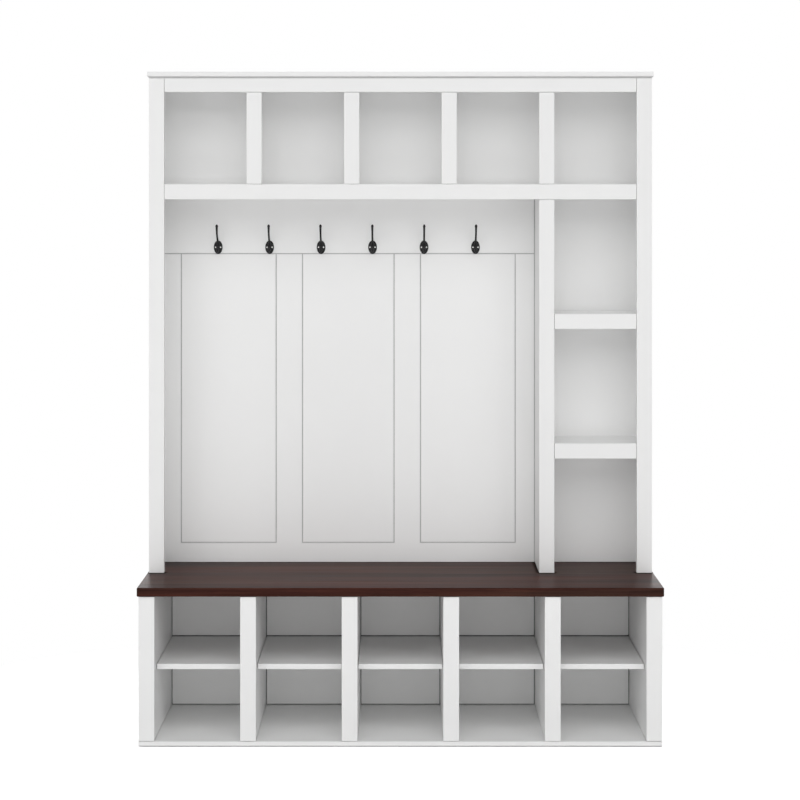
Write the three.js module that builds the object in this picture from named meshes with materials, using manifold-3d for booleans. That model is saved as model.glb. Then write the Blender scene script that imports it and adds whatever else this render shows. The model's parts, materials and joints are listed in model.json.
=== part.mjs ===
// Hall tree with hooks. A low base of five shoe bays stands under a dark bench top. On the
// bench stands a shallow upper unit: a grooved back panel with a row of coat hooks, a column
// of open shelves at its right, and a row of five cubbies along the top.
//
// Units are millimetres. +Z is up, +X is to the right seen from the front, and the front
// faces -Y. The origin is on the floor, under the middle of the bench top.

import * as THREE from "three";
import { mergeVertices } from "three/addons/utils/BufferGeometryUtils.js";
import Module from "manifold-3d";

const wasm = await Module();
wasm.setup();

// ---------------------------------------------------------------- driving dimensions

// Overall sizes
const WIDTH = 1505; // bench top and top board, end to end
const DEPTH = 400; // front edge of the bench top to the wall
const HEIGHT = 1944; // floor to the upper face of the top board
const SEAT_HEIGHT = 454; // floor to the upper face of the bench top
const UPPER_DEPTH = 186; // front of the upper unit's frame to the wall
const OVERHANG = 5; // bench top and top board past what they lie on, ends and front

// Board stock
const BOARD = 15; // panels and shelves
const BACK_BOARD = 12;
const BENCH_BOARD = 25;
const TOP_BOARD = 18;
const MEMBER = 45; // width of posts, stiles and rails, and thickness of the base uprights
const FRAME_BOARD = 18; // thickness of posts, stiles and rails, front to back

// Base
const BAY_COUNT = 5;
const SHOE_SHELF_TOP = 226; // floor to the upper face of the shoe shelves
const SHOE_SHELF_SETBACK = 42; // front of the base to the front of the shoe shelves
const SHELF_END_GAP = 2; // loose shelf to each upright, and to the back panel
const BENCH_EDGE_RADIUS = 2.5;
const BENCH_CORNER_RADIUS = 4;

// Shelf pins
const PIN_RADIUS = 2.5;
const PIN_REACH = 8; // out of the upright, under the shelf
const PIN_SOCKET = 12; // into a side upright
const PIN_INSET = 40; // front and rear edge of the shelf to the pins

// Upper unit
const TOP_RAIL = 42;
const TOP_CHAMFER = OVERHANG;
const CUBBY_HEIGHT = 274; // clear height between the two top rails
const SIDE_SHELF_COUNT = 2;

// Grooved back panel
const HOOK_BOARD_SHOWN = 163; // hook board below the cubby rail
const GROOVE_WIDTH = 3;
const GROOVE_DEPTH = 3;
const PANEL_BORDER = 60; // plain border at both sides of the grooved outlines and below them
const PANEL_GAP = 81; // between two outlines
const MIDDLE_PANEL = 281;

// Hooks
const HOOK_COUNT = 6;
const HOOK_MARGIN_LEFT = 173; // left side panel to the first hook
const HOOK_MARGIN_RIGHT = 182; // last hook to the column
const HOOK_RAISE = 18; // hook board's lower edge to the middle of a hook plate
const PLATE_HALF_WIDTH = 12.5;
const PLATE_HALF_HEIGHT = 20;
const PLATE_RIM = 1.6;
const PLATE_CROWN = 4.6;
const SHANK_RADIUS = 2.3;
const KNOB_RADIUS = 3.9;
const HAT_KNOB_HALF_HEIGHT = 6.2;
const HAT_REACH = 44; // upper prong, board to knob
const HAT_RISE = 64; // upper knob above the middle of the plate
const COAT_KNOB_HALF_HEIGHT = 4.5;
const COAT_REACH = 28; // lower prong, board to knob
const COAT_RISE = -6; // lower knob, below the middle of the plate
const SCREW_SPACING = 15.4;
const SCREW_RADIUS = 1.6;
const SCREW_HEAD_RADIUS = 2.6;
const SCREW_LENGTH = 9; // into the hook board

// Locating dowels between the bench top and the two posts
const DOWEL_RADIUS = 4;
const DOWEL_HALF_LENGTH = 15;

// Clearances
const SEAT_GAP = 0.3; // a round pin to the board that lies on it
const HOLE_GAP = 0.3; // round a pin, screw or dowel, and past its end

// Each prong follows a cubic curve. Its four control points are given as the distance out
// from the board and the height over the middle of the plate.
const HAT_CURVE = [[SHANK_RADIUS, 6], [14, 24], [HAT_REACH, 30], [HAT_REACH, HAT_RISE]];
const COAT_CURVE = [[SHANK_RADIUS, -6], [17, -12], [COAT_REACH, -20], [COAT_REACH, COAT_RISE]];

// Fineness of round shapes
const ROUND_SIDES = 20; // pins, dowels and the holes for them
const BENCH_EDGE_STEPS = 3;
const BENCH_CORNER_STEPS = 4;
const PLATE_SIDES = 28;
const DOME_STEPS = 4; // from the plate's rim to its crown
const SHANK_SIDES = 10;
const PRONG_STEPS = 16; // from the plate to the knob
const KNOB_SIDES = 12;
const KNOB_STEPS = 8; // from the foot of a knob to its top
const SCREW_SIDES = 14;

// ---------------------------------------------------------------- derived places

const REAR = DEPTH / 2;
const BENCH_FRONT = -DEPTH / 2;
const BASE_FRONT = BENCH_FRONT + OVERHANG;
const UPPER_FRONT = REAR - UPPER_DEPTH;
const BACK_FACE = REAR - BACK_BOARD;
const FRAME_REAR = UPPER_FRONT + FRAME_BOARD;

const CARCASS_HALF = WIDTH / 2 - OVERHANG;
const BAY_WIDTH = (2 * CARCASS_HALF - (BAY_COUNT + 1) * MEMBER) / BAY_COUNT;
const uprightX = (i) => -CARCASS_HALF + MEMBER / 2 + i * (MEMBER + BAY_WIDTH);
const bayX = (i) => (uprightX(i) + uprightX(i + 1)) / 2;

const BENCH_UNDERSIDE = SEAT_HEIGHT - BENCH_BOARD;
const SHOE_SHELF_FRONT = BASE_FRONT + SHOE_SHELF_SETBACK;
const SHOE_SHELF_REAR = BACK_FACE - SHELF_END_GAP;
const PIN_Z = SHOE_SHELF_TOP - BOARD - SEAT_GAP - PIN_RADIUS;
const PIN_YS = [SHOE_SHELF_FRONT + PIN_INSET, SHOE_SHELF_REAR - PIN_INSET];

const TOP_UNDERSIDE = HEIGHT - TOP_BOARD;
const TOP_RAIL_LOW = TOP_UNDERSIDE - TOP_RAIL;
const CUBBY_FLOOR = TOP_RAIL_LOW - CUBBY_HEIGHT;
const CUBBY_RAIL_LOW = CUBBY_FLOOR - MEMBER;
const CUBBY_SHELF_LOW = CUBBY_FLOOR - BOARD;
const SIDE_INNER = CARCASS_HALF - BOARD; // inner face of the side panels
const FRAME_INNER = CARCASS_HALF - MEMBER; // inner edge of the posts

const COLUMN_LEFT = uprightX(BAY_COUNT - 1) - MEMBER / 2;
const COLUMN_RIGHT = COLUMN_LEFT + BOARD;
const SIDE_OPENING =
  (CUBBY_RAIL_LOW - SEAT_HEIGHT - SIDE_SHELF_COUNT * MEMBER) / (SIDE_SHELF_COUNT + 1);
const sideShelfTop = (i) => SEAT_HEIGHT + (i + 1) * (SIDE_OPENING + MEMBER);

const PANEL_JOINT = CUBBY_RAIL_LOW - HOOK_BOARD_SHOWN;
const HOOK_Z = PANEL_JOINT + HOOK_RAISE;
const HOOK_SPAN = COLUMN_LEFT + SIDE_INNER - HOOK_MARGIN_LEFT - HOOK_MARGIN_RIGHT;
const HOOK_PITCH = HOOK_SPAN / (HOOK_COUNT - 1);
const hookX = (i) => -SIDE_INNER + HOOK_MARGIN_LEFT + i * HOOK_PITCH;

// ---------------------------------------------------------------- finishes

const finish = (color, roughness, metalness) => ({ color, roughness, metalness });
const WHITE = finish(0xf1f1ef, 0.45, 0);
const WALNUT = finish(0x3c2420, 0.5, 0);
const BLACK = finish(0x1b1b1c, 0.4, 0.5);
const STEEL = finish(0xb4b6b8, 0.3, 1);
const BEECH = finish(0xc9a877, 0.7, 0);

// ---------------------------------------------------------------- solids and boards

// Faces that are meant to meet lie on one plane, because places fall on a fine grid.
const GRID = 64;
const snap = (v) => Math.round(v * GRID) / GRID;

function named(name, geometry, look) {
  const mesh = new THREE.Mesh(geometry, new THREE.MeshStandardMaterial(look));
  mesh.name = name;
  return mesh;
}

// A square-edged board from its low and high face on each axis.
function board(name, look, x, y, z) {
  const low = [x[0], y[0], z[0]].map(snap);
  const high = [x[1], y[1], z[1]].map(snap);
  const size = high.map((h, i) => h - low[i]);
  const mesh = named(name, new THREE.BoxGeometry(...size), look);
  mesh.position.set(...low.map((l, i) => l + size[i] / 2));
  return mesh;
}

// A closed geometry, placed by a matrix, as a solid that can be joined and cut.
function solid(geometry, matrix = new THREE.Matrix4()) {
  const bare = new THREE.BufferGeometry();
  bare.setAttribute("position", geometry.getAttribute("position").clone());
  bare.setIndex(geometry.index);
  bare.applyMatrix4(matrix);
  const merged = mergeVertices(bare, 1e-4);
  const vertProperties = merged.getAttribute("position").array;
  const triVerts = new Uint32Array(merged.index.array);
  return new wasm.Manifold(new wasm.Mesh({ numProp: 3, vertProperties, triVerts }));
}

function geometryOf(made) {
  const { vertProperties, triVerts } = made.getMesh();
  const geometry = new THREE.BufferGeometry();
  geometry.setAttribute("position", new THREE.BufferAttribute(vertProperties, 3));
  geometry.setIndex(new THREE.BufferAttribute(triVerts, 1));
  const flat = geometry.toNonIndexed();
  flat.computeVertexNormals();
  return flat;
}

// Takes the cutters, which are meshes in the board's own parent frame, out of a board.
function cut(mesh, cutters) {
  mesh.updateMatrix();
  const toLocal = mesh.matrix.clone().invert();
  let made = solid(mesh.geometry);
  for (const cutter of cutters) {
    cutter.updateMatrix();
    made = made.subtract(solid(cutter.geometry, toLocal.clone().multiply(cutter.matrix)));
  }
  mesh.geometry = geometryOf(made);
  return mesh;
}

// A round bar between two ends on one line parallel to X, Y or Z. With four sides it is a
// square bar that stands on one of its edges.
function bar(name, look, radius, start, end, sides = ROUND_SIDES) {
  const from = new THREE.Vector3(...start);
  const to = new THREE.Vector3(...end);
  const along = to.clone().sub(from);
  const geometry = new THREE.CylinderGeometry(radius, radius, along.length(), sides);
  const mesh = named(name, geometry, look);
  mesh.position.copy(from).add(to).multiplyScalar(0.5);
  mesh.quaternion.setFromUnitVectors(new THREE.Vector3(0, 1, 0), along.normalize());
  return mesh;
}

// ---------------------------------------------------------------- base

function bottomPanel() {
  const x = [-CARCASS_HALF, CARCASS_HALF];
  return board("bottom_panel", WHITE, x, [BASE_FRONT, REAR], [0, BOARD]);
}

// The pins that stand in upright i: one at the front and one at the rear. In a divider each
// pin runs right through and carries the shelves of both bays.
function pinSpan(i) {
  const left = uprightX(i) - MEMBER / 2;
  const right = uprightX(i) + MEMBER / 2;
  if (i === 0) return [right - PIN_SOCKET, right + PIN_REACH];
  if (i === BAY_COUNT) return [left - PIN_REACH, left + PIN_SOCKET];
  return [left - PIN_REACH, right + PIN_REACH];
}

function pinHoles(i) {
  const [low, high] = pinSpan(i);
  const [start, end] = [low - HOLE_GAP, high + HOLE_GAP];
  return PIN_YS.map((y) =>
    bar("", WHITE, PIN_RADIUS + HOLE_GAP, [start, y, PIN_Z], [end, y, PIN_Z]),
  );
}

function shelfPins() {
  const pins = [];
  for (let i = 0; i <= BAY_COUNT; i++) {
    const [low, high] = pinSpan(i);
    PIN_YS.forEach((y, k) => {
      const name = `shelf_pin_${i + 1}_${k === 0 ? "front" : "rear"}`;
      pins.push(bar(name, STEEL, PIN_RADIUS, [low, y, PIN_Z], [high, y, PIN_Z]));
    });
  }
  return pins;
}

function uprightName(i) {
  if (i === 0) return "base_side_left";
  if (i === BAY_COUNT) return "base_side_right";
  return `base_divider_${i}`;
}

// The two side uprights run back to the wall, and the dividers to the back panel.
function uprights() {
  const z = [BOARD, BENCH_UNDERSIDE];
  const made = [];
  for (let i = 0; i <= BAY_COUNT; i++) {
    const outer = i === 0 || i === BAY_COUNT;
    const x = [uprightX(i) - MEMBER / 2, uprightX(i) + MEMBER / 2];
    const y = [BASE_FRONT, outer ? REAR : BACK_FACE];
    made.push(cut(board(uprightName(i), WHITE, x, y, z), pinHoles(i)));
  }
  return made;
}

function baseBack() {
  const x = [-FRAME_INNER, FRAME_INNER];
  return board("base_back", WHITE, x, [BACK_FACE, REAR], [BOARD, BENCH_UNDERSIDE]);
}

function shoeShelves() {
  const half = BAY_WIDTH / 2 - SHELF_END_GAP;
  const y = [SHOE_SHELF_FRONT, SHOE_SHELF_REAR];
  const z = [SHOE_SHELF_TOP - BOARD, SHOE_SHELF_TOP];
  const made = [];
  for (let i = 0; i < BAY_COUNT; i++) {
    made.push(board(`shoe_shelf_${i + 1}`, WHITE, [bayX(i) - half, bayX(i) + half], y, z));
  }
  return made;
}

// A rectangle with rounded corners, drawn about its own middle.
function roundedRectangle(width, height, radius) {
  const [x, y] = [width / 2 - radius, height / 2 - radius];
  const shape = new THREE.Shape();
  shape.absarc(x, y, radius, 0, Math.PI / 2);
  shape.absarc(-x, y, radius, Math.PI / 2, Math.PI);
  shape.absarc(-x, -y, radius, Math.PI, 1.5 * Math.PI);
  shape.absarc(x, -y, radius, 1.5 * Math.PI, 2 * Math.PI);
  return shape;
}

// The bench top has rounded corners and eased edges, and a blind hole under each post.
function benchTop() {
  const inset = BENCH_EDGE_RADIUS;
  const underside = snap(BENCH_UNDERSIDE);
  const shape = roundedRectangle(WIDTH - 2 * inset, DEPTH - 2 * inset, BENCH_CORNER_RADIUS);
  const geometry = new THREE.ExtrudeGeometry(shape, {
    depth: snap(SEAT_HEIGHT) - underside - 2 * inset,
    bevelThickness: inset,
    bevelSize: inset,
    bevelSegments: BENCH_EDGE_STEPS,
    curveSegments: BENCH_CORNER_STEPS,
  });
  const mesh = named("bench_top", geometry, WALNUT);
  mesh.position.set(0, 0, underside + inset);
  return cut(mesh, dowels(HOLE_GAP));
}

// ---------------------------------------------------------------- upper unit

const frameDepth = [UPPER_FRONT, FRAME_REAR];

// The locating dowels, or with a gap the round holes that they stand in.
function dowels(gap = 0) {
  const y = UPPER_FRONT + FRAME_BOARD / 2;
  const half = DOWEL_HALF_LENGTH + gap;
  const ends = (x) => [
    [x, y, SEAT_HEIGHT - half],
    [x, y, SEAT_HEIGHT + half],
  ];
  return [
    bar("post_dowel_left", BEECH, DOWEL_RADIUS + gap, ...ends(uprightX(0))),
    bar("post_dowel_right", BEECH, DOWEL_RADIUS + gap, ...ends(uprightX(BAY_COUNT))),
  ];
}

function posts() {
  const z = [SEAT_HEIGHT, TOP_UNDERSIDE];
  const left = board("post_left", WHITE, [-CARCASS_HALF, -FRAME_INNER], frameDepth, z);
  const right = board("post_right", WHITE, [FRAME_INNER, CARCASS_HALF], frameDepth, z);
  const [leftHole, rightHole] = dowels(HOLE_GAP);
  return [cut(left, [leftHole]), cut(right, [rightHole])];
}

function sidePanels() {
  const y = [FRAME_REAR, REAR];
  const z = [SEAT_HEIGHT, TOP_UNDERSIDE];
  return [
    board("side_panel_left", WHITE, [-CARCASS_HALF, -SIDE_INNER], y, z),
    board("side_panel_right", WHITE, [SIDE_INNER, CARCASS_HALF], y, z),
  ];
}

// The top board's overhang is chamfered back to the frame along the ends and the front. Each
// chamfer is cut by a square bar whose axis lies on the board's lower edge.
function topBoard() {
  const half = WIDTH / 2;
  const front = UPPER_FRONT - OVERHANG;
  const edge = ([x, y]) => [x, y, TOP_UNDERSIDE];
  const chamfer = (start, end) => bar("", WHITE, TOP_CHAMFER, edge(start), edge(end), 4);
  const before = front - TOP_CHAMFER;
  const beyond = REAR + TOP_CHAMFER;
  const wide = half + TOP_CHAMFER;
  const mesh = board("top_board", WHITE, [-half, half], [front, REAR], [TOP_UNDERSIDE, HEIGHT]);
  return cut(mesh, [
    chamfer([-wide, front], [wide, front]),
    chamfer([-half, before], [-half, beyond]),
    chamfer([half, before], [half, beyond]),
  ]);
}

function topRails() {
  const x = [-FRAME_INNER, FRAME_INNER];
  return [
    board("top_rail", WHITE, x, frameDepth, [TOP_RAIL_LOW, TOP_UNDERSIDE]),
    board("cubby_rail", WHITE, x, frameDepth, [CUBBY_RAIL_LOW, CUBBY_FLOOR]),
  ];
}

function cubbyShelf() {
  const z = [CUBBY_SHELF_LOW, CUBBY_FLOOR];
  return board("cubby_shelf", WHITE, [-SIDE_INNER, SIDE_INNER], [FRAME_REAR, BACK_FACE], z);
}

function cubbyDividers() {
  const made = [];
  for (let i = 1; i < BAY_COUNT; i++) {
    const c = uprightX(i);
    const panelX = [c - BOARD / 2, c + BOARD / 2];
    const stileX = [c - MEMBER / 2, c + MEMBER / 2];
    const panelZ = [CUBBY_FLOOR, TOP_UNDERSIDE];
    const stileZ = [CUBBY_FLOOR, TOP_RAIL_LOW];
    made.push(board(`cubby_divider_${i}`, WHITE, panelX, [FRAME_REAR, BACK_FACE], panelZ));
    made.push(board(`cubby_stile_${i}`, WHITE, stileX, frameDepth, stileZ));
  }
  return made;
}

function column() {
  const panelX = [COLUMN_LEFT, COLUMN_RIGHT];
  const stileX = [COLUMN_LEFT, COLUMN_LEFT + MEMBER];
  const panelZ = [SEAT_HEIGHT, CUBBY_SHELF_LOW];
  return [
    board("column_panel", WHITE, panelX, [FRAME_REAR, REAR], panelZ),
    board("column_stile", WHITE, stileX, frameDepth, [SEAT_HEIGHT, CUBBY_RAIL_LOW]),
  ];
}

function sideShelves() {
  const shelfX = [COLUMN_RIGHT, SIDE_INNER];
  const railX = [COLUMN_LEFT + MEMBER, FRAME_INNER];
  const made = [];
  for (let i = 0; i < SIDE_SHELF_COUNT; i++) {
    const top = sideShelfTop(i);
    const shelfZ = [top - BOARD, top];
    made.push(board(`side_shelf_${i + 1}`, WHITE, shelfX, [FRAME_REAR, BACK_FACE], shelfZ));
    made.push(board(`side_rail_${i + 1}`, WHITE, railX, frameDepth, [top - MEMBER, top]));
  }
  return made;
}

// ---------------------------------------------------------------- back boards

const backDepth = [BACK_FACE, REAR];
const grooveDepth = [BACK_FACE - GROOVE_DEPTH, BACK_FACE + GROOVE_DEPTH];

// One outline: two upright grooves that run up into the joint, and one across their feet,
// each centred on the outline.
function outlineGrooves(left, right) {
  const half = GROOVE_WIDTH / 2;
  const foot = SEAT_HEIGHT + PANEL_BORDER;
  const z = [foot - half, PANEL_JOINT + GROOVE_WIDTH];
  return [
    board("", WHITE, [left - half, left + half], grooveDepth, z),
    board("", WHITE, [right - half, right + half], grooveDepth, z),
    board("", WHITE, [left - half, right + half], grooveDepth, [foot - half, foot + half]),
  ];
}

// The wainscot board below the hooks: its upper edge is rebated, so that the joint shows as
// a groove, and three outlines are routed under it.
function wainscot() {
  const [left, right] = [-SIDE_INNER, COLUMN_LEFT];
  const mesh = board("wainscot_board", WHITE, [left, right], backDepth, [SEAT_HEIGHT, PANEL_JOINT]);
  const rebateX = [left - GROOVE_WIDTH, right + GROOVE_WIDTH];
  const rebateZ = [PANEL_JOINT - GROOVE_WIDTH, PANEL_JOINT + GROOVE_WIDTH];
  const cutters = [board("", WHITE, rebateX, grooveDepth, rebateZ)];
  const outerPanel = (right - left - 2 * PANEL_BORDER - 2 * PANEL_GAP - MIDDLE_PANEL) / 2;
  let x = left + PANEL_BORDER;
  for (const width of [outerPanel, MIDDLE_PANEL, outerPanel]) {
    cutters.push(...outlineGrooves(x, x + width));
    x += width + PANEL_GAP;
  }
  return cut(mesh, cutters);
}

function hookBoard() {
  const x = [-SIDE_INNER, COLUMN_LEFT];
  const mesh = board("hook_board", WHITE, x, backDepth, [PANEL_JOINT, CUBBY_SHELF_LOW]);
  const mouth = BACK_FACE - HOLE_GAP;
  const end = BACK_FACE + SCREW_LENGTH + HOLE_GAP;
  const holes = [];
  for (let i = 0; i < HOOK_COUNT; i++) {
    for (const side of [-1, 1]) {
      const at = (y) => [hookX(i) + (side * SCREW_SPACING) / 2, y, HOOK_Z];
      holes.push(bar("", WHITE, SCREW_RADIUS + HOLE_GAP, at(mouth), at(end)));
    }
  }
  return cut(mesh, holes);
}

function otherBacks() {
  const all = [-SIDE_INNER, SIDE_INNER];
  const columnX = [COLUMN_RIGHT, SIDE_INNER];
  return [
    board("cubby_back", WHITE, all, backDepth, [CUBBY_SHELF_LOW, TOP_UNDERSIDE]),
    board("column_back", WHITE, columnX, backDepth, [SEAT_HEIGHT, CUBBY_SHELF_LOW]),
  ];
}

// ---------------------------------------------------------------- hooks

// Inside a hook the origin is the middle of the plate's rear face.

// The plate: an oval with a domed front, turned as a round dome of radius 1 and stretched.
function plateSolid() {
  const dome = PLATE_CROWN - PLATE_RIM;
  const profile = [new THREE.Vector2(0, 0), new THREE.Vector2(1, 0)];
  for (let i = 0; i <= DOME_STEPS; i++) {
    const angle = (i / DOME_STEPS) * (Math.PI / 2);
    profile.push(new THREE.Vector2(Math.cos(angle), PLATE_RIM + dome * Math.sin(angle)));
  }
  profile[profile.length - 1].x = 0;
  const geometry = new THREE.LatheGeometry(profile, PLATE_SIDES);
  const place = new THREE.Matrix4().makeRotationX(Math.PI);
  place.premultiply(new THREE.Matrix4().makeScale(PLATE_HALF_WIDTH, 1, PLATE_HALF_HEIGHT));
  return solid(geometry, place);
}

// A prong of round bar that leaves the plate, curves up and ends in an upright oval knob.
function prongSolid(controls, knobHalfHeight) {
  const points = controls.map(([out, up]) => new THREE.Vector3(0, -out, up));
  const section = new THREE.Shape();
  section.absarc(0, 0, SHANK_RADIUS, 0, 2 * Math.PI);
  const shank = new THREE.ExtrudeGeometry(section, {
    extrudePath: new THREE.CubicBezierCurve3(...points),
    steps: PRONG_STEPS,
    curveSegments: SHANK_SIDES / 2,
    bevelEnabled: false,
  });
  const knob = new THREE.SphereGeometry(KNOB_RADIUS, KNOB_SIDES, KNOB_STEPS);
  knob.rotateX(Math.PI / 2);
  const stretch = new THREE.Matrix4().makeScale(1, 1, knobHalfHeight / KNOB_RADIUS);
  return solid(shank).add(solid(knob, stretch.setPosition(points[3])));
}

// A round rod along Y, at the height of the plate's middle.
function rodSolid(radius, x, start, end) {
  const geometry = new THREE.CylinderGeometry(radius, radius, end - start, SCREW_SIDES);
  return solid(geometry, new THREE.Matrix4().makeTranslation(x, (start + end) / 2, 0));
}

function screwSolid(x) {
  const head = rodSolid(SCREW_HEAD_RADIUS, x, -PLATE_CROWN, 0);
  return head.add(rodSolid(SCREW_RADIUS, x, -PLATE_RIM, SCREW_LENGTH));
}

// The hook with its two screws, which are joined to it.
function hookGeometry() {
  const hat = prongSolid(HAT_CURVE, HAT_KNOB_HALF_HEIGHT);
  const coat = prongSolid(COAT_CURVE, COAT_KNOB_HALF_HEIGHT);
  const screws = screwSolid(-SCREW_SPACING / 2).add(screwSolid(SCREW_SPACING / 2));
  return geometryOf(plateSolid().add(hat).add(coat).add(screws));
}

function hooks() {
  const geometry = hookGeometry();
  const made = [];
  for (let i = 0; i < HOOK_COUNT; i++) {
    const mesh = named(`hook_${i + 1}`, geometry, BLACK);
    mesh.position.set(snap(hookX(i)), snap(BACK_FACE), snap(HOOK_Z));
    made.push(mesh);
  }
  return made;
}

// ---------------------------------------------------------------- assembly

const base = new THREE.Group();
base.add(bottomPanel(), ...uprights(), baseBack(), ...shelfPins(), ...shoeShelves(), benchTop());

const upper = new THREE.Group();
upper.add(...dowels(), ...posts(), ...sidePanels(), topBoard(), ...topRails());
upper.add(cubbyShelf(), ...cubbyDividers(), ...column(), ...sideShelves());
upper.add(wainscot(), hookBoard(), ...otherBacks(), ...hooks());

const hallTree = new THREE.Group();
hallTree.add(base, upper);

export default hallTree;
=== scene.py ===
import json
import math

import bmesh
import bpy
from mathutils import Matrix, Vector

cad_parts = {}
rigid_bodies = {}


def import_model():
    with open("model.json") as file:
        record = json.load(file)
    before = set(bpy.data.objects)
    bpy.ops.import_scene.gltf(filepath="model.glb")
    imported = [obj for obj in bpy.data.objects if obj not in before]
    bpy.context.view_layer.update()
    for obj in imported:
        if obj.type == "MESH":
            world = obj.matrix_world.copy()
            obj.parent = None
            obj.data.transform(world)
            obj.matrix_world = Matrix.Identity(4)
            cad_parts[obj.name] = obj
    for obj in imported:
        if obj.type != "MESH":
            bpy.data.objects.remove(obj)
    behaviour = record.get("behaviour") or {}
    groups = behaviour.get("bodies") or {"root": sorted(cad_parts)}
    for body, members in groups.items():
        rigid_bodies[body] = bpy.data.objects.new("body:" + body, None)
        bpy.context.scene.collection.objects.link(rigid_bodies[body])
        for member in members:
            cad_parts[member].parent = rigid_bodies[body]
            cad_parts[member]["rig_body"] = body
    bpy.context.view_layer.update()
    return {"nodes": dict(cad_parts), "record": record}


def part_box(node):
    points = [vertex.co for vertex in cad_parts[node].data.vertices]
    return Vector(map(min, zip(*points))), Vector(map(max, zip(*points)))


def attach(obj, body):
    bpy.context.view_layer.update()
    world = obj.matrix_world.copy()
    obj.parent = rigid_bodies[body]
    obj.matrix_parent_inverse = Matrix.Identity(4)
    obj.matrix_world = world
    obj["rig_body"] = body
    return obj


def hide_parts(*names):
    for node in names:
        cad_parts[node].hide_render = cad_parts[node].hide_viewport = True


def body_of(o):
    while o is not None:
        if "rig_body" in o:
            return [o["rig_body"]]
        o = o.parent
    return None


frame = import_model()

# A hall tree: white lacquered boards with eased edges, a dark walnut bench top, six black
# cast hooks with their screws, and the steel pins under the shoe shelves. All lengths are
# in metres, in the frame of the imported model: +Z up, the front faces -Y.

MM = 0.001

# ---------------------------------------------------------------- finishes

WHITE = (0.905, 0.905, 0.901)
WHITE_SHADE = (0.890, 0.890, 0.887)
WHITE_EDGE = (0.80, 0.80, 0.795)  # thinner lacquer on the eased edges, shown in part
LINE_PAINTED_SHADE = (0.10, 0.10, 0.097)  # painted shade in a line, groove, joint, rebate or on the chamfer, at its darkest
WALNUT_DARK = (0.024, 0.0078, 0.0058)
WALNUT_MIDDLE = (0.054, 0.0172, 0.0126)
WALNUT_LIGHT = (0.090, 0.0300, 0.0210)
WALNUT_GREY = (0.70, 0.98, 1.0)  # tint of the greyer bands of the grain
WALNUT_PORE = (0.010, 0.0036, 0.0028)
WALNUT_CONTACT_SHADE = (0.006, 0.0035, 0.0030)  # painted shade: a contact shadow along the foot of the upper unit
CONTACT_SHADE_REACH = 14 * MM
BLACK = (0.012, 0.012, 0.013)
BLACK_WORN = (0.036, 0.035, 0.034)
STEEL = (0.62, 0.63, 0.64)
STEEL_DULL = (0.50, 0.50, 0.51)
ZINC = (0.66, 0.66, 0.65)
ZINC_DULL = (0.48, 0.48, 0.47)
BEECH = (0.57, 0.38, 0.19)
BEECH_FLECK = (0.44, 0.27, 0.12)

# ---------------------------------------------------------------- light

SKY_LEVEL = 0.05  # the white surroundings at eye height, as they light the object
SKY_TOP = 0.49  # and straight above
SEEN_WHITE = 1.0  # as the camera and reflections see them
FLOOR = 0.80  # the floor's tone, as it lights the object
SEEN_FLOOR = 2.2  # as the camera sees it near the object: white, with the shadow kept
SHADOW_REACH = (0.15, 0.8)  # the floor turns plain white between these distances
FLOOR_HALF = 7  # half the width of the floor

# Soft boxes: place, aim, width, height, power in watts
LAMPS = (
    ((0, -4.0, 4.5), (0, 0, 0.9), 8.0, 4.0, 131),
    ((0, -9.0, 0.8), (0, 0, 1.0), 12.0, 1.5, 117),
    ((0, -2.2, 0.35), (0, 0, 0.9), 4.0, 0.5, 5),
    ((-4.0, -4.0, 1.5), (0, 0, 1.1), 2.2, 3.0, 24),
    ((4.0, -4.0, 1.5), (0, 0, 1.1), 2.2, 3.0, 24),
    ((0, 9.0, 1.4), (0, 0, 1.0), 12.0, 2.5, 220),
)

# ---------------------------------------------------------------- camera

CAMERA_AT = (0, -5.235, 1.5)
FOCAL_LENGTH = 79.47  # for a sensor 36 wide
SENSOR = 36
SHIFT = (-0.0005, -0.2235)


def make_camera():
    """A camera that looks straight along +Y at eye height, shifted down to the object."""
    data = bpy.data.cameras.new("camera")
    data.sensor_width = SENSOR
    data.lens = FOCAL_LENGTH
    data.shift_x, data.shift_y = SHIFT
    camera = bpy.data.objects.new("camera", data)
    camera.location = CAMERA_AT
    camera.rotation_euler = (math.pi / 2, 0, 0)
    bpy.context.scene.collection.objects.link(camera)
    bpy.context.scene.camera = camera


# ---------------------------------------------------------------- node trees


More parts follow.
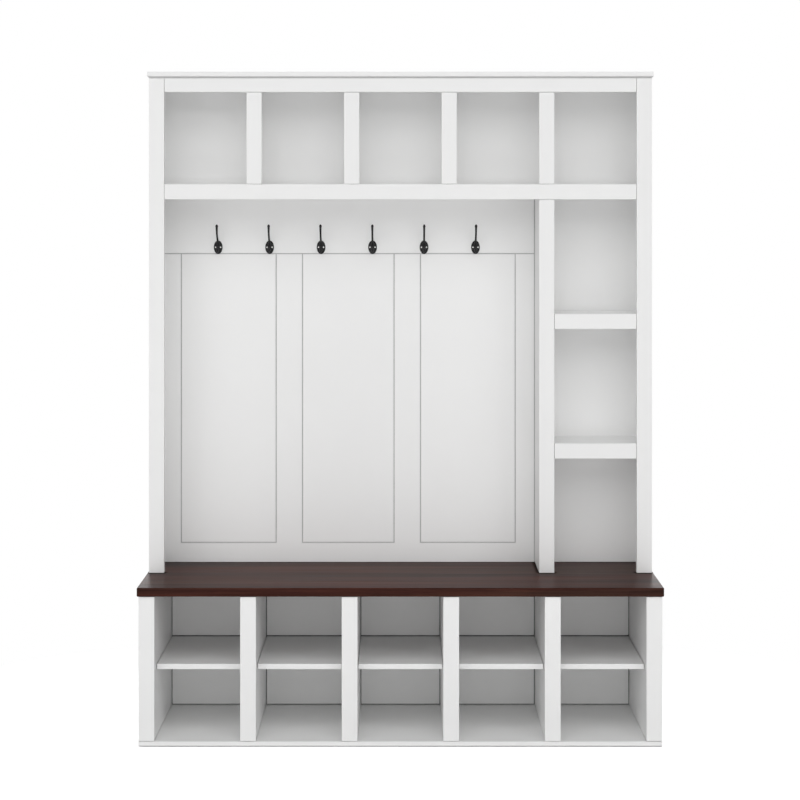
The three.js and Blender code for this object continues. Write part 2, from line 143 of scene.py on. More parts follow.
class Tree:
    """A node tree with short ways to add nodes."""

    def __init__(self, tree):
        self.tree = tree
        tree.nodes.clear()

    def add(self, kind, inputs=None, **settings):
        node = self.tree.nodes.new("ShaderNode" + kind)
        for name, value in settings.items():
            setattr(node, name, value)
        for name, value in (inputs or {}).items():
            self.put(node.inputs[name], value)
        return node

    def put(self, socket, value):
        """Links a socket to another node's output, or sets its own value."""
        if isinstance(value, bpy.types.NodeSocket):
            self.tree.links.new(value, socket)
        elif socket.type == "RGBA" and len(value) == 3:
            socket.default_value = (*value, 1)
        else:
            socket.default_value = value

    def place(self, scale=(1, 1, 1)):
        """The object's own coordinates, scaled."""
        at = self.add("TexCoord").outputs["Object"]
        return self.add("Mapping", {"Vector": at, "Scale": scale}).outputs[0]

    def noise(self, at, scale, detail=2, roughness=0.5):
        inputs = {"Vector": at, "Scale": scale, "Detail": detail, "Roughness": roughness}
        return self.add("TexNoise", inputs).outputs["Fac"]

    def spread(self, value, low, high, new_low=0, new_high=1):
        """Maps low..high to new_low..new_high, and holds it there."""
        inputs = {"Value": value, "From Min": low, "From Max": high}
        inputs |= {"To Min": new_low, "To Max": new_high}
        return self.add("MapRange", inputs).outputs["Result"]

    def blend(self, factor, a, b, mode="MIX"):
        """Colour b over colour a."""
        inputs = {0: factor, 6: a, 7: b}  # the factor and the two colour sockets
        return self.add("Mix", inputs, data_type="RGBA", blend_type=mode).outputs[2]

    def maths(self, operation, a, b):
        return self.add("Math", {0: a, 1: b}, operation=operation).outputs[0]

    def ramp(self, factor, *stops):
        """A colour ramp of (place, colour) stops."""
        node = self.add("ValToRGB", {"Fac": factor})
        elements = node.color_ramp.elements
        while len(elements) < len(stops):
            elements.new(0.5)
        for element, (place, colour) in zip(elements, stops):
            element.position = place
            element.color = (*colour, 1)
        return node.outputs["Color"]

    def bump(self, height, distance, normal=None):
        inputs = {"Height": height, "Distance": distance, "Strength": 1.0}
        if normal is not None:
            inputs["Normal"] = normal
        return self.add("Bump", inputs).outputs["Normal"]

    def finish(self, **inputs):
        named = {name.replace("_", " "): value for name, value in inputs.items()}
        shader = self.add("BsdfPrincipled", named)
        self.add("OutputMaterial", {"Surface": shader.outputs["BSDF"]})


def material(name):
    made = bpy.data.materials.new(name)
    made.use_nodes = True
    return made, Tree(made.node_tree)


def mask(tree, name):
    """A mask kept in a board's mesh: "edge" on eased edges, the other for painted shade in lines
    and joints.
    """
    return tree.add("Attribute", attribute_name=name).outputs["Fac"]


def white_lacquer():
    """Sprayed satin lacquer: faint clouds, fine orange peel, smoother edges, painted shade in
    lines.
    """
    made, t = material("white_lacquer")
    at = t.place()
    edge, routed = mask(t, "edge"), mask(t, "routed")
    clouds = t.noise(at, 3.1, 3)
    piece = t.add("ObjectInfo").outputs["Random"]
    tone = t.spread(t.maths("ADD", clouds, t.maths("MULTIPLY", piece, 0.25)), 0.4, 0.85)
    colour = t.blend(tone, WHITE, WHITE_SHADE)
    colour = t.blend(t.maths("MULTIPLY", edge, 0.25), colour, WHITE_EDGE)
    # painted shade in the lines, grooves, joints, rebate and chamfer, made patchy by noise
    patchy_shade = t.spread(t.noise(at, 60, 2), 0.3, 0.7, 0.85, 1.0)
    colour = t.blend(t.maths("MULTIPLY", routed, patchy_shade), colour, LINE_PAINTED_SHADE)
    rough = t.spread(t.noise(at, 23, 4), 0.35, 0.65, 0.36, 0.46)
    rough = t.maths("SUBTRACT", rough, t.maths("MULTIPLY", edge, 0.06))
    rough = t.maths("ADD", rough, t.maths("MULTIPLY", routed, 0.25))
    normal = t.bump(t.noise(at, 640, 2), 0.00002)
    normal = t.bump(t.noise(at, 45, 1), 0.00004, normal)
    t.finish(Base_Color=colour, Roughness=rough, Normal=normal, IOR=1.48)
    return made


def walnut():
    """Dark stained walnut under a thin satin varnish, with a gently bent grain along X, and
    painted contact shadow near the upper unit's foot.
    """
    made, t = material("walnut_stained")
    bend = t.noise(t.place((0.9, 5, 5)), 1.0, 2)
    sway = t.add("CombineXYZ", {"Y": t.maths("MULTIPLY", bend, 0.05)}).outputs[0]
    own = t.add("TexCoord").outputs["Object"]
    bent = t.add("VectorMath", {0: own, 1: sway}, operation="ADD").outputs[0]

    def grain(scale, detail, roughness=0.5):
        at = t.add("Mapping", {"Vector": bent, "Scale": scale}).outputs[0]
        return t.noise(at, 1.0, detail, roughness)

    broad = grain((0.9, 22, 34), 3, 0.55)
    streaks = grain((2.6, 150, 150), 4, 0.6)
    pores = grain((22, 900, 900), 2)
    mix = t.maths("ADD", t.maths("MULTIPLY", broad, 0.62), t.maths("MULTIPLY", streaks, 0.38))
    stops = ((0.38, WALNUT_DARK), (0.5, WALNUT_MIDDLE), (0.62, WALNUT_LIGHT))
    colour = t.ramp(mix, *stops)
    greyer = t.spread(grain((0.8, 12, 30), 2), 0.42, 0.60)
    colour = t.blend(greyer, colour, WALNUT_GREY, "MULTIPLY")
    open_pores = t.spread(pores, 0.60, 0.72)
    colour = t.blend(t.maths("MULTIPLY", open_pores, 0.55), colour, WALNUT_PORE)
    # painted shade: darker and rougher within reach of other parts, a contact shadow along the
    # upper unit's foot
    near = t.add("AmbientOcclusion", {"Distance": CONTACT_SHADE_REACH}, samples=8).outputs["AO"]
    contact_shade = t.spread(near, 0.95, 0.60)
    colour = t.blend(contact_shade, colour, WALNUT_CONTACT_SHADE)
    rough = t.spread(streaks, 0.3, 0.7, 0.29, 0.39)
    rough = t.maths("ADD", rough, t.maths("MULTIPLY", contact_shade, 0.5))
    height = t.maths("SUBTRACT", t.maths("MULTIPLY", streaks, 0.3), open_pores)
    t.finish(Base_Color=colour, Roughness=rough, Normal=t.bump(height, 0.00006), IOR=1.11)
    return made


def cast_black():
    """Black powder coat over a casting, rubbed a little on its high places."""
    made, t = material("cast_black")
    at = t.place()
    worn = t.spread(t.noise(at, 190, 4, 0.6), 0.56, 0.72)
    colour = t.blend(worn, BLACK, BLACK_WORN)
    rough = t.spread(t.noise(at, 420, 3), 0.3, 0.7, 0.34, 0.5)
    normal = t.bump(t.noise(at, 900, 3), 0.00005)
    t.finish(Base_Color=colour, Roughness=rough, Normal=normal, IOR=1.3)
    return made


def bright_metal(name, colour, shade):
    """Plated or drawn steel, with fine scratches."""
    made, t = material(name)
    at = t.place()
    dull = t.spread(t.noise(at, 700, 4, 0.6), 0.4, 0.7)
    rough = t.spread(t.noise(at, 1500, 2), 0.3, 0.7, 0.24, 0.38)
    normal = t.bump(t.noise(t.place((60, 2600, 2600)), 1, 2), 0.00001)
    blended = t.blend(dull, colour, shade)
    t.finish(Base_Color=blended, Roughness=rough, Metallic=1.0, Normal=normal)
    return made


def beech():
    """Turned beech dowel: pale, with short flecks along the grain."""
    made, t = material("beech_turned")
    flecks = t.noise(t.place((900, 900, 90)), 1, 3)
    colour = t.blend(t.spread(flecks, 0.45, 0.65), BEECH, BEECH_FLECK)
    t.finish(Base_Color=colour, Roughness=0.65, Normal=t.bump(flecks, 0.00004))
    return made


# ---------------------------------------------------------------- pieces and meshes

RECORD = frame["record"]


def nodes_in(slot):
    return [part["node"] for part in RECORD["subparts"] if part["material_slot"] == slot]


BOARDS = nodes_in("white_board")


def piece(name, mesh, look, node, slot, replaced=(), place=None):
    """A piece of the model: it rides with a node's body and may stand for CAD nodes."""
    made = bpy.data.objects.new(name, mesh)
    bpy.context.scene.collection.objects.link(made)
    if not mesh.materials:
        mesh.materials.append(look)
    if place is not None:
        made.matrix_world = place
    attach(made, body_of(frame["nodes"][node])[0])
    if replaced:
        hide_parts(*replaced)
    return made


def to_mesh(bm, name):
    mesh = bpy.data.meshes.new(name)
    bm.normal_update()
    bm.to_mesh(mesh)
    bm.free()
    return mesh


def block(bm, low, high):
    """A box between two corners."""
    made = bmesh.ops.create_cube(bm, size=1)["verts"]
    low, high = Vector(low), Vector(high)
    bmesh.ops.scale(bm, vec=high - low, verts=made)
    bmesh.ops.translate(bm, vec=(low + high) / 2, verts=made)
    return made


def ring(centre, across, third, sides):
    """Points round an oval whose half axes are two vectors."""
    turns = [2 * math.pi * k / sides for k in range(sides)]
    return [centre + math.cos(a) * across + math.sin(a) * third for a in turns]


def skin(bm, rings):
    """Joins rings of points into one closed surface."""
    made = [[bm.verts.new(point) for point in points] for points in rings]
    for low, high in zip(made, made[1:]):
        for k in range(len(low)):
            n = (k + 1) % len(low)
            bm.faces.new((low[k], low[n], high[n], high[k]))
    bm.faces.new(reversed(made[0]))
    bm.faces.new(made[-1])


def turned(profile, sides, axis="Y"):
    """A closed turned piece from (radius, place along the axis) pairs, in millimetres."""
    along = Vector((0, MM, 0)) if axis == "Y" else Vector((MM, 0, 0))
    across = Vector((MM, 0, 0)) if axis == "Y" else Vector((0, MM, 0))
    third = Vector((0, 0, MM))
    bm = bmesh.new()
    skin(bm, [ring(at * along, r * across, r * third, sides) for r, at in profile])
    bmesh.ops.recalc_face_normals(bm, faces=bm.faces)
    return bm


def evaluated(mesh, modifiers, name):
    """The mesh after a list of modifiers, each as (type, settings), without materials."""
    scratch = bpy.data.objects.new("scratch", mesh)
    bpy.context.scene.collection.objects.link(scratch)
    for kind, settings in modifiers:
        modifier = scratch.modifiers.new(kind, kind)
        for key, value in settings.items():
            setattr(modifier, key, value)
    view = bpy.context.evaluated_depsgraph_get()
    made = bpy.data.meshes.new_from_object(scratch.evaluated_get(view))
    made.name = name
    made.materials.clear()
    bpy.data.objects.remove(scratch)
    return made


def cut(mesh, cutter_bm, name):
    """The mesh with the cutter's volume taken out of it."""
    cutter = bpy.data.objects.new("cutter", to_mesh(cutter_bm, "cutter"))
    bpy.context.scene.collection.objects.link(cutter)
    settings = {"operation": "DIFFERENCE", "object": cutter, "solver": "EXACT", "use_self": True}
    made = evaluated(mesh, [("BOOLEAN", settings)], name)
    bpy.data.objects.remove(cutter)
    return made


def smooth_where(mesh, wanted):
    """Smooth shading on the faces for which wanted(face) holds."""
    for face in mesh.polygons:
        face.use_smooth = wanted(face)


# ---------------------------------------------------------------- boards

EASE = 0.5 * MM  # sanded edge of a lacquered board
EASE_STEPS = 2
FLAT = 0.01  # faces that meet at a smaller angle than this, in radians, are one
SHARP = math.radians(20)
SHORT = 1.5 * MM  # edges of drilled holes are shorter and stay as they are
JOINT = 0.8 * MM  # the fine gap where a rail, stile or post meets its neighbour
BASE_JOINT = 1.2 * MM  # and the one above and below the uprights of the base
SHADOW_GAP = (2.2 * MM, 4 * MM)  # height and depth of the rebate where the base meets the floor
LINE_DEPTH = 3 * MM  # of the lines routed into a back board beside its neighbours
LINE_STEP = 0.1 * MM  # each line is this much deeper than the last, so that their floors differ
TUCKED = 1 * MM  # how far a cutter reaches past a board, or under the neighbour
CLOSE = 0.02 * MM  # lengths smaller than this don't count
SAME = CLOSE / 2  # corners this near are one
ZERO = CLOSE / 10  # edges this short are removed
ROUTED_DEPTH = 0.3 * MM  # faces this far inside a board's box belong to its lines

UPRIGHTS = [node for node in BOARDS if node.startswith(("base_side", "base_divider"))]
# The lines routed into each back board: the neighbour they run beside, the axis across them,
# their width in millimetres, and the painted shade in them, from 0 to 1.
ROUTED_AND_SHADED = {
    "base_back": [(node, 0, 2.4, 1.0) for node in UPRIGHTS]
    + [("bottom_panel", 2, 3.0, 0.9), ("shoe_shelf_1", 2, 3.0, 0.9)],
    "wainscot_board": [("column_panel", 0, 2.3, 0.46)],
    "hook_board": [("column_panel", 0, 2.3, 0.46)],
}
GROOVE_PAINTED_SHADE = 0.46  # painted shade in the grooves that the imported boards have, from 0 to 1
CHAMFER_PAINTED_SHADE = 0.26  # painted shade on the chamfer under the top board, from 0 to 1
CHAMFER_SLOPE = (-0.9, -0.5)  # its faces look this far down


def trims(node):
    """The ends of a board that stop just short of its neighbours, as (axis, which end)."""
    if node == "top_rail":
        return ((0, 0), (0, 1), (2, 1))
    if "rail" in node:
        return ((0, 0), (0, 1))
    if node in UPRIGHTS or "stile" in node or "post" in node:
        return ((2, 0), (2, 1))
    return ()


def trim(bm, node):
    """Shortens a board by its joint gaps, and marks those ends for painted shade in the gaps."""
    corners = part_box(node)
    gap = BASE_JOINT if node in UPRIGHTS else JOINT
    routed = bm.faces.layers.float["routed"]
    for axis, end in trims(node):
        ends = [vert for vert in bm.verts if abs(vert.co[axis] - corners[end][axis]) < CLOSE]
        # painted shade on the ends that face into a joint gap
        for face in bm.faces:
            if all(vert in ends for vert in face.verts):
                face[routed] = 1
        for vert in ends:
            vert.co[axis] += gap if end == 0 else -gap


def routed_lines(node):
    """The lines cut into a board's front: the corners of each cut, and its painted shade."""
    low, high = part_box(node)
    lines = []
    for neighbour, axis, width, dark in ROUTED_AND_SHADED[node]:
        for corner, outward in zip(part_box(neighbour), (-1, 1)):
            face = corner[axis]
            if face < low[axis] - CLOSE or face > high[axis] + CLOSE:
                continue
            depth = LINE_DEPTH + LINE_STEP * (len(lines) + 1)
            first = Vector((low.x - TUCKED, low.y - TUCKED, low.z - TUCKED))
            last = Vector((high.x + TUCKED, low.y + depth, high.z + TUCKED))
            sides = (face - outward * TUCKED, face + outward * width * MM)
            first[axis], last[axis] = sorted(sides)
            lines.append((first, last, dark))
    return lines


def line_cutters(node):
    """Cutters for the lines of a back board."""
    bm = bmesh.new()
    for first, last, _ in routed_lines(node):
        block(bm, first, last)
    return bm


def shadow_gap(node):
    """Cutters for a low rebate round a board's lower edge."""
    low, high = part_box(node)
    tall, deep = SHADOW_GAP
    bm = bmesh.new()
    for axis in (0, 1):
        for end in (0, 1):
            first = low - Vector((TUCKED, TUCKED, TUCKED))
            last = Vector((high.x + TUCKED, high.y + TUCKED, low.z + tall))
            if end == 0:
                last[axis] = low[axis] + deep
            else:
                first[axis] = high[axis] - deep
            block(bm, first, last)
    return bm


def depth_in(point, low, high):
    """How far a point lies inside a box; less than 0 outside it."""
    return min(min(point[i] - low[i], high[i] - point[i]) for i in range(3))


def mark_painted_shade(bm, node):
    """Marks the painted shade of the faces inside a board's box: grooves, lines and the rebate.
    """
    low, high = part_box(node)
    lines = routed_lines(node) if node in ROUTED_AND_SHADED else []
    routed = bm.faces.layers.float["routed"]
    for face in bm.faces:
        middle = face.calc_center_median()
        if depth_in(middle, low, high) > ROUTED_DEPTH:
            # painted shade: full in the bottom panel's rebate at the floor, less in the imported
            # grooves
            face[routed] = 1 if node == "bottom_panel" else GROOVE_PAINTED_SHADE
            for first, last, dark in lines:
                if depth_in(middle, first, last) > -CLOSE:
                    face[routed] = dark


def mark_chamfer(bm):
    """Marks painted shade on the slope under the top board's overhang."""
    steepest, flattest = CHAMFER_SLOPE
    routed = bm.faces.layers.float["routed"]
    bm.normal_update()
    for face in bm.faces:
        if steepest < face.normal.z < flattest:
            face[routed] = CHAMFER_PAINTED_SHADE


def ease(bm, edges, width, steps):
    """Rounds edges off, and returns the new faces."""
    settings = {"offset": width, "segments": steps, "profile": 0.5, "affect": "EDGES"}
    made = bmesh.ops.bevel(bm, geom=edges, clamp_overlap=True, **settings)["faces"]
    for face in made:
        face.smooth = True
    return made


def eased_board(node):
    """The CAD board with its lines and joint gaps cut and its edges eased."""
    source = frame["nodes"][node].data
    if node in ROUTED_AND_SHADED:
        source = cut(source, line_cutters(node), node + "_routed")
    if node == "bottom_panel":
        source = cut(source, shadow_gap(node), node + "_rebated")
    bm = bmesh.new()
    bm.from_mesh(source)
    bmesh.ops.remove_doubles(bm, verts=bm.verts, dist=SAME)
    bmesh.ops.dissolve_limit(bm, angle_limit=FLAT, verts=bm.verts, edges=bm.edges)
    for mask_name in ("edge", "routed"):
        bm.faces.layers.float.new(mask_name)
    # painted shade in the grooves, lines, floor rebate and chamfer
    if node in ROUTED_AND_SHADED or node == "bottom_panel":
        mark_painted_shade(bm, node)
    if node == "top_board":
        mark_chamfer(bm)
    trim(bm, node)
    sharp = [edge for edge in bm.edges if edge.is_manifold and edge.calc_face_angle() > SHARP]
    made = ease(bm, [edge for edge in sharp if edge.calc_length() > SHORT], EASE, EASE_STEPS)
    edge_mask = bm.faces.layers.float["edge"]
    for face in made:
        face[edge_mask] = 1
    bmesh.ops.dissolve_degenerate(bm, dist=ZERO, edges=bm.edges)
    return to_mesh(bm, node + "_eased")


def make_boards(look):
    """All white boards."""
    for node in BOARDS:
        piece(node + "_board", eased_board(node), look, node, "white_board", [node])


# ---------------------------------------------------------------- bench top

BENCH_CORNER = 4 * MM
BENCH_CORNER_STEPS = 6
BENCH_EDGE = 2.5 * MM
BENCH_EDGE_STEPS = 5
RIM = math.radians(60)  # the edges round the top and bottom faces are sharper than this
SQUARE = 0.9999  # flat faces look this far along an axis


def make_bench_top(look):
    """A solid top with rounded corners and softened edges."""
    low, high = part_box("bench_top")
    bm = bmesh.new()
    block(bm, low, high)
    upright = [edge for edge in bm.edges if abs(edge.verts[0].co.z - edge.verts[1].co.z) > EASE]
    ease(bm, upright, BENCH_CORNER, BENCH_CORNER_STEPS)
    rims = [edge for edge in bm.edges if edge.calc_face_angle() > RIM]
    ease(bm, rims, BENCH_EDGE, BENCH_EDGE_STEPS)
    mesh = to_mesh(bm, "bench_top_walnut")
    smooth_where(mesh, lambda face: max(abs(n) for n in face.normal) < SQUARE)
    piece("bench_top_walnut", mesh, look, "bench_top", "walnut_top", ["bench_top"])


# ---------------------------------------------------------------- hooks

# The two prongs, each by the four controls of a cubic curve, in millimetres: out from the
# board, and up from the middle of the plate.
HAT_CURVE = ((2.3, 6), (14, 24), (44, 30), (44, 64))
COAT_CURVE = ((2.3, -6), (17, -12), (28, -20), (28, -6))
PRONG_STEPS = 40
PRONG_SIDES = 20
SHANK_ROOT = 3.8 * MM  # radius at the plate
SHANK_WAIST = 2.95 * MM  # and from ROOT_END on
ROOT_END = 0.35  # as a share of the shank's length
FLARE = 0.4 * MM  # the shank widens by this much towards its knob
FLARE_START = 0.8  # as a share of the shank's length
KNOB_RADIUS = 4.1 * MM
HAT_KNOB = 6.2 * MM  # half the height of each knob
COAT_KNOB = 4.5 * MM
KNOB_STEPS = 16
KNOB_FOOT = -0.6  # below this share of its half height, a knob is no thinner than its shank
TIP = 0.05 * MM  # the least radius, where a knob closes
PLATE_HALF = (13.4 * MM, 20.8 * MM)
PLATE_FOOT = 20 * MM  # from the middle of the plate to the lowest point of the CAD hook
PLATE_RIM = 1.5 * MM
PLATE_CROWN = 4.6 * MM
PLATE_SIDES = 48
DOME_STEPS = 9
DOME_EDGE = 0.87  # where the dome starts, as a share of the plate's half axes
VOXEL = 0.35 * MM  # the fineness at which plate and prongs grow together
SCREW_AT = 7.8 * MM  # from the middle of the plate to each screw
SCREW_SEAT = 3.55 * MM  # from the board to the underside of the screw's head
SCREW_TURN = 0.5  # of the cross recess, in radians


def bezier(controls, t):
    """A point of a cubic curve given in millimetres as (out, up)."""
    u = 1 - t
    weights = (u**3, 3 * u * u * t, 3 * u * t * t, t**3)
    out = sum(w * c[0] for w, c in zip(weights, controls))
    up = sum(w * c[1] for w, c in zip(weights, controls))
    return Vector((0, -out * MM, up * MM))


def tube(bm, path, radii, sides):
    """A closed tube along a path in the YZ plane, with its own radius at each point."""
    across = Vector((1, 0, 0))
    rings = []
    for i, (centre, radius) in enumerate(zip(path, radii)):
        before, after = path[max(i - 1, 0)], path[min(i + 1, len(path) - 1)]
        third = (after - before).normalized().cross(across)
        rings.append(ring(centre, radius * across, radius * third, sides))
    skin(bm, rings)


def prong(bm, controls, knob_half):
    """A tapering shank that ends in an oval knob with a short flare under it."""
    path = [bezier(controls, i / PRONG_STEPS) for i in range(PRONG_STEPS + 1)]
    centre = path[-1]
    path = [point for point in path if (point - centre).length > knob_half]
    radii = []
    for i in range(len(path)):
        t = i / (len(path) - 1)
        root = (SHANK_ROOT - SHANK_WAIST) * max(0, 1 - t / ROOT_END) ** 2
        flare = FLARE * max(0, (t - FLARE_START) / (1 - FLARE_START)) ** 2
        radii.append(SHANK_WAIST + root + flare)
    foot = radii[-1]
    for i in range(1, KNOB_STEPS + 1):
        a = math.pi * i / KNOB_STEPS
        h = -math.cos(a)
        path.append(centre + Vector((0, 0, h * knob_half)))
        radii.append(max(KNOB_RADIUS * math.sin(a), foot if h < KNOB_FOOT else TIP))
    tube(bm, path, radii, PRONG_SIDES)


def plate(bm):
    """The oval plate: a low rim, a small step and a dome."""
    profile = [(1.0, 0), (1.0, PLATE_RIM * 0.8), (0.97, PLATE_RIM), (0.90, PLATE_RIM * 1.02)]
    dome = PLATE_CROWN - PLATE_RIM
    for i in range(DOME_STEPS):
        a = math.pi / 2 * i / DOME_STEPS
        profile.append((DOME_EDGE * math.cos(a), PLATE_RIM * 1.08 + dome * math.sin(a)))
    across, third = Vector((PLATE_HALF[0], 0, 0)), Vector((0, 0, PLATE_HALF[1]))
    rings = []
    for r, out in profile:
        rings.append(ring(Vector((0, -out, 0)), r * across, r * third, PLATE_SIDES))
    skin(bm, rings)


def hook_mesh():
    """One casting: plate and prongs grown together, with small fillets where they meet."""
    bm = bmesh.new()
    plate(bm)
    prong(bm, HAT_CURVE, HAT_KNOB)
    prong(bm, COAT_CURVE, COAT_KNOB)
    bmesh.ops.recalc_face_normals(bm, faces=bm.faces)
    grow = {"mode": "VOXEL", "voxel_size": VOXEL, "use_smooth_shade": True}
    soften = {"factor": 0.5, "iterations": 5}
    steps = [("REMESH", grow), ("SMOOTH", soften), ("DECIMATE", {"ratio": 0.3})]
    return evaluated(to_mesh(bm, "hook_rough"), steps, "hook_cast")


# ---------------------------------------------------------------- screws and pins

# Profiles of the screws, from the point to the top of the head: radius and place along Y, in
# millimetres from the surface that the head lies on. A pan head looks along -Y, a flat head
# along +Y.
PAN_HEAD = (
    (1.5, 9), (1.5, 0), (2.2, 0), (2.3, -0.3),
    (2.2, -0.8), (1.9, -1.2), (1.3, -1.45), (0.6, -1.55),
)
FLAT_HEAD = (
    (0.4, -24), (1.6, -21), (1.6, -3), (3.5, -0.1),
    (3.5, 0.05), (3.1, 0.18), (1.2, 0.25),
)
PAN_HEAD_TOP = -1.6  # where the cross recess opens, in millimetres too
FLAT_HEAD_TOP = 0.3
RECESS_REACH = 1.3
RECESS_WIDTH = 0.27
RECESS_DEPTH = 0.8
SCREW_SIDES = 28
PIN_RADIUS = 2.5  # in millimetres, as the profiles are
PIN_CHAMFER = 0.6
PIN_SIDES = 32
ENDWAYS = 0.1  # a pin's faces that look further along X than this are its ends

INSET = 45 * MM  # of the back screws from the ends of the boards they hold
SHELF_SCREWS = {
    "cubby_shelf": ("cubby_back", 6),
    "side_shelf_1": ("column_back", 2),
    "side_shelf_2": ("column_back", 2),
}
NEXT_TURN = 0.7  # each back screw's recess is turned this much further, in radians


def cross_recess(top):
    """The cutter for a cross recess in a head that ends at this place along Y."""
    corner = MM * Vector((RECESS_REACH, RECESS_DEPTH, RECESS_WIDTH))
    bm = bmesh.new()
    for turn in (0, math.pi / 2):
        bar = block(bm, -corner, corner)
        bmesh.ops.rotate(bm, matrix=Matrix.Rotation(turn, 3, "Y"), verts=bar)
    bmesh.ops.translate(bm, vec=(0, top * MM, 0), verts=bm.verts)
    return bm


def screw_mesh(profile, top, name):
    """A screw along Y with a cross recess in the head."""
    solid = to_mesh(turned(profile, SCREW_SIDES), name + "_blank")
    return cut(solid, cross_recess(top), name)


def pin_mesh(length):
    """A shelf pin along X with chamfered ends."""
    end = length / MM / 2
    profile = [(PIN_RADIUS - PIN_CHAMFER, -end), (PIN_RADIUS, PIN_CHAMFER - end)]
    profile += [(r, -at) for r, at in reversed(profile)]
    mesh = to_mesh(turned(profile, PIN_SIDES, "X"), "shelf_pin_turned")
    smooth_where(mesh, lambda face: abs(face.normal.x) < ENDWAYS)
    return mesh


def make_pins(look):
    """The pins under the shoe shelves."""
    for node in nodes_in("steel_pin"):
        low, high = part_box(node)
        place = Matrix.Translation((low + high) / 2)
        mesh = pin_mesh(high.x - low.x)
        piece(node + "_turned", mesh, look, node, "steel_pin", [node], place)


def make_hooks(look, screw_look):
    """Six hooks, each with a screw at either side of its plate."""
    casting = hook_mesh()
    screw = screw_mesh(PAN_HEAD, PAN_HEAD_TOP, "screw_pan_head")
    for node in nodes_in("black_hook"):
        low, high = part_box(node)
        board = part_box("hook_board")[0].y
        middle = Vector(((low.x + high.x) / 2, board, low.z + PLATE_FOOT))
        place = Matrix.Translation(middle)
        piece(node + "_cast", casting, look, node, "black_hook", [node], place)
        for side, sign in (("left", -1), ("right", 1)):
            at = middle + Vector((sign * SCREW_AT, -SCREW_SEAT, 0))
            place = Matrix.Translation(at) @ Matrix.Rotation(SCREW_TURN * sign, 4, "Y")
            piece(f"{node}_screw_{side}", screw, screw_look, node, "steel_pin", (), place)


def back_screw_places():
    """Where screws go through the back boards into the boards in front of them."""
    places = []
    low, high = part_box("base_back")
    heights = (low.z + INSET, (low.z + high.z) / 2 + INSET, high.z - INSET)
    for node in [node for node in UPRIGHTS if "divider" in node]:
        x = (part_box(node)[0].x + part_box(node)[1].x) / 2
        places += [("base_back", x, z) for z in heights]
    for node in [node for node in BOARDS if node.startswith("cubby_divider")]:
        low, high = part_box(node)
        x = (low.x + high.x) / 2
        places += [("cubby_back", x, z) for z in (low.z + INSET, high.z - INSET)]
    for node, (board, count) in SHELF_SCREWS.items():
        low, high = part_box(node)
        for i in range(count):
            x = low.x + INSET + (high.x - low.x - 2 * INSET) * i / (count - 1)
            places.append((board, x, (low.z + high.z) / 2))
    return places


def make_back_screws(look):
    """Flat-head screws in the back boards."""
    screw = screw_mesh(FLAT_HEAD, FLAT_HEAD_TOP, "screw_flat_head")
    for i, (board, x, z) in enumerate(back_screw_places()):
        turn = Matrix.Rotation(NEXT_TURN * i, 4, "Y")
        place = Matrix.Translation((x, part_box(board)[1].y, z)) @ turn
        piece(f"back_screw_{i + 1}", screw, look, board, "steel_pin", (), place)


def finish_dowels(look):
    """The dowels keep their CAD shape."""
    for node in nodes_in("beech_dowel"):
        for part in frame["nodes"][node].material_slots:
            part.material = look


# ---------------------------------------------------------------- surroundings


def seen_directly(t):
    """1 where the camera, a mirror or glass looks, 0 where the ray only carries light."""
    path = t.add("LightPath").outputs
    mirrored = t.maths("MAXIMUM", path["Is Glossy Ray"], path["Is Transmission Ray"])
    return t.maths("MAXIMUM", path["Is Camera Ray"], mirrored)


def outside(t, low, high):
    """How far a point of the floor lies outside the box of what stands on it."""
    at = t.add("SeparateXYZ", {"Vector": t.add("TexCoord").outputs["Object"]}).outputs
    away = []
    for along, first, last in ((at["X"], low.x, high.x), (at["Y"], low.y, high.y)):
        sides = (t.maths("SUBTRACT", first, along), t.maths("SUBTRACT", along, last))
        beyond = t.maths("MAXIMUM", t.maths("MAXIMUM", *sides), 0)
        away.append(t.maths("POWER", beyond, 2))
    return t.maths("SQRT", t.maths("ADD", *away), 0)


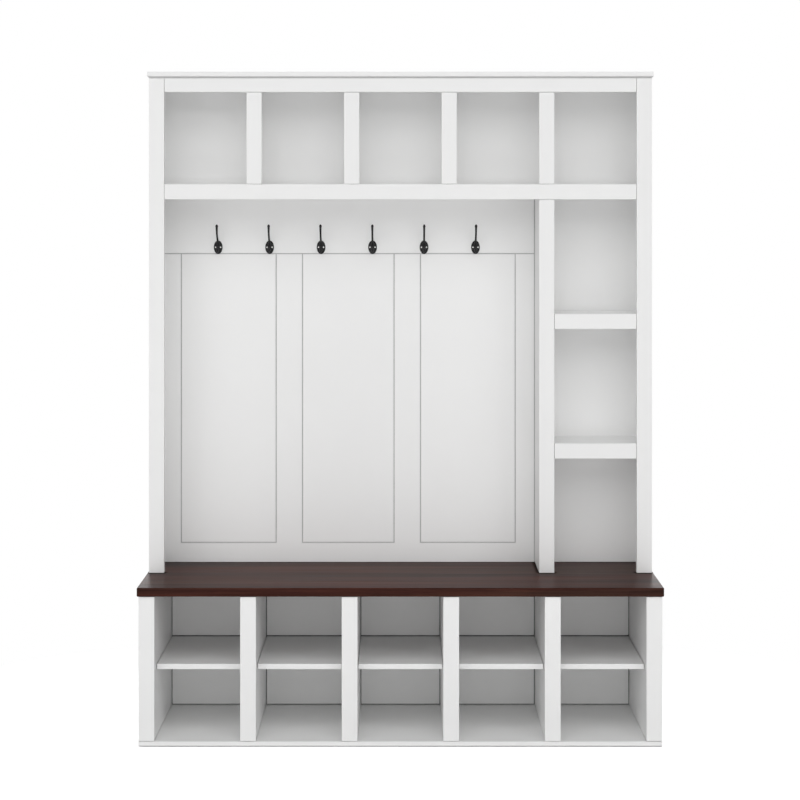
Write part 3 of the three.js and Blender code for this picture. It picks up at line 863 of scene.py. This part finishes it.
def make_floor():
    """A wide pale floor. The camera sees it as white, and reflections do too."""
    turns = ((-1, -1), (1, -1), (1, 1), (-1, 1))
    corners = [(FLOOR_HALF * x, FLOOR_HALF * y, 0) for x, y in turns]
    mesh = bpy.data.meshes.new("floor")
    mesh.from_pydata(corners, [], [(0, 1, 2, 3)])
    floor = bpy.data.objects.new("floor", mesh)
    bpy.context.scene.collection.objects.link(floor)
    made, t = material("floor_pale")
    grain = t.spread(t.noise(t.place(), 9, 3), 0.3, 0.7, 0.985, 1.0)
    away = outside(t, *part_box("bottom_panel"))
    camera = t.add("LightPath").outputs["Is Camera Ray"]
    seen = t.maths("MULTIPLY", camera, t.spread(away, 0, MM))
    tone = t.maths("MULTIPLY", t.spread(seen, 0, 1, FLOOR, SEEN_FLOOR), grain)
    grey = t.add("CombineColor", dict.fromkeys(("Red", "Green", "Blue"), tone)).outputs[0]
    shaded = t.add("BsdfDiffuse", {"Color": grey}).outputs[0]
    white = t.add("Emission", {"Color": (1, 1, 1), "Strength": SEEN_WHITE}).outputs[0]
    far = t.spread(away, *SHADOW_REACH)
    share = t.maths("MULTIPLY", seen_directly(t), far)
    surface = t.add("MixShader", {0: share, 1: shaded, 2: white}).outputs[0]
    t.add("OutputMaterial", {"Surface": surface})
    mesh.materials.append(made)


def make_world():
    """White surroundings, brighter overhead."""
    world = bpy.data.worlds.new("studio")
    world.use_nodes = True
    bpy.context.scene.world = world
    t = Tree(world.node_tree)
    towards = t.add("TexCoord").outputs["Generated"]
    up = t.add("SeparateXYZ", {"Vector": towards}).outputs["Z"]
    light = t.spread(up, 0, 1, SKY_LEVEL, SKY_TOP)
    strength = t.spread(seen_directly(t), 0, 1, light, SEEN_WHITE)
    background = t.add("Background", {"Color": (1, 1, 1), "Strength": strength})
    t.add("OutputWorld", {"Surface": background.outputs[0]})


def make_lamps():
    """The soft boxes, unseen by the camera."""
    for i, (place, aim, width, height, power) in enumerate(LAMPS):
        data = bpy.data.lights.new(f"softbox_{i + 1}", "AREA")
        data.shape = "RECTANGLE"
        data.size, data.size_y = width, height
        data.energy = power
        lamp = bpy.data.objects.new(data.name, data)
        lamp.location = place
        lamp.rotation_euler = (Vector(aim) - Vector(place)).to_track_quat("-Z", "Y").to_euler()
        lamp.visible_camera = False
        bpy.context.scene.collection.objects.link(lamp)


# ---------------------------------------------------------------- the scene

make_camera()
zinc = bright_metal("zinc_plated", ZINC, ZINC_DULL)
make_boards(white_lacquer())
make_bench_top(walnut())
make_hooks(cast_black(), zinc)
make_pins(bright_metal("pin_steel", STEEL, STEEL_DULL))
make_back_screws(zinc)
finish_dowels(beech())
make_floor()
make_world()
make_lamps()
bpy.context.scene.view_settings.view_transform = "Standard"
